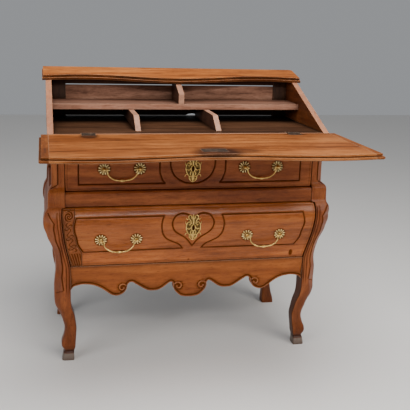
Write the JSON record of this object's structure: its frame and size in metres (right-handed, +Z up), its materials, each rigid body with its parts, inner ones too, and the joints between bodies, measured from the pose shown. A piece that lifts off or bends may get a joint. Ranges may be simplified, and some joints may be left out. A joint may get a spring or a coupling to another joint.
{
  "type": "slant-front desk",
  "caption": "Slant-front desk on cabriole legs with a bombe front, two drawers, a fall that opens level for writing, and pigeonholes.",
  "frame": {"origin": "bottom centre of the outer box with the fall open, on the floor", "axes": "+X to the right seen from the front, -Y toward the person who writes, +Z up"},
  "size_m": [0.998, 0.8337, 0.9652],
  "materials": {
    "case_wood": "waxed, reddish brown, worn at the edges",
    "top_wood": "waxed, honey brown with fine grain",
    "inner_wood": "plain dark wood",
    "brass": "cast brass, lightly tarnished",
    "iron": "dark worn iron"
  },
  "bodies": {
    "carcass": {"top_board": "top_wood", "gable_left": "top_wood", "gable_right": "top_wood", "back_stile_left": "inner_wood", "back_stile_right": "inner_wood", "back_rail_upper": "inner_wood", "back_board_upper": "inner_wood", "back_board_lower": "inner_wood", "case_back": "inner_wood", "back_rail_lower": "inner_wood", "front_post_left": "case_wood", "front_post_right": "case_wood", "rear_post_left": "case_wood", "rear_post_right": "case_wood", "writing_bed": "top_wood", "top_rail": "case_wood", "mid_rail": "case_wood", "apron": "case_wood", "side_board_left": "case_wood", "side_board_right": "case_wood", "bombe_side_left": "case_wood", "bombe_side_right": "case_wood", "runner_upper_left": "inner_wood", "runner_upper_right": "inner_wood", "runner_lower_left": "inner_wood", "runner_lower_right": "inner_wood", "shelf": "inner_wood", "divider_upper": "top_wood", "divider_left": "top_wood", "divider_right": "top_wood", "hinge_plate_left": "iron", "hinge_plate_right": "iron"},
    "fall": {"fall_board": "top_wood", "fall_end_left": "top_wood", "fall_end_right": "top_wood", "hinge_flap_left": "iron", "hinge_flap_right": "iron", "fall_lock": "iron", "fall_escutcheon": "brass"},
    "upper_drawer": {"upper_front": "case_wood", "upper_side_left": "inner_wood", "upper_side_right": "inner_wood", "upper_back": "inner_wood", "upper_bottom": "inner_wood", "upper_escutcheon": "brass", "upper_lock": "iron", "upper_rosettes": "brass"},
    "lower_drawer": {"lower_front": "case_wood", "lower_side_left": "inner_wood", "lower_side_right": "inner_wood", "lower_back": "inner_wood", "lower_bottom": "inner_wood", "lower_escutcheon": "brass", "lower_lock": "iron", "lower_rosettes": "brass", "carved_strip": "case_wood"},
    "bail_ul": {"bail_upper_left": "brass"},
    "bail_ur": {"bail_upper_right": "brass"},
    "bail_ll": {"bail_lower_left": "brass"},
    "bail_lr": {"bail_lower_right": "brass"}
  },
  "joints": [
    {"name": "fall_hinge", "type": "hinge", "parent": "carcass", "child": "fall", "pos_m": [0, -0.03314, 0.785], "axis": [-1, 0, 0], "range_deg": [0, 158]},
    {"name": "upper_drawer_slide", "type": "slide", "parent": "carcass", "child": "upper_drawer", "axis": [0, -1, 0], "range_m": [0, 0.3]},
    {"name": "lower_drawer_slide", "type": "slide", "parent": "carcass", "child": "lower_drawer", "axis": [0, -1, 0], "range_m": [0, 0.3]},
    {"name": "bail_ul_hinge", "type": "hinge", "parent": "upper_drawer", "child": "bail_ul", "pos_m": [-0.236, -0.04514, 0.671], "axis": [-1, 0, 0], "range_deg": [0, 95]},
    {"name": "bail_ur_hinge", "type": "hinge", "parent": "upper_drawer", "child": "bail_ur", "pos_m": [0.236, -0.04514, 0.671], "axis": [-1, 0, 0], "range_deg": [0, 95]},
    {"name": "bail_ll_hinge", "type": "hinge", "parent": "lower_drawer", "child": "bail_ll", "pos_m": [-0.249, -0.07067, 0.43553], "axis": [-1, 0, 0], "range_deg": [0, 95]},
    {"name": "bail_lr_hinge", "type": "hinge", "parent": "lower_drawer", "child": "bail_lr", "pos_m": [0.249, -0.07067, 0.43553], "axis": [-1, 0, 0], "range_deg": [0, 95]}
  ]
}
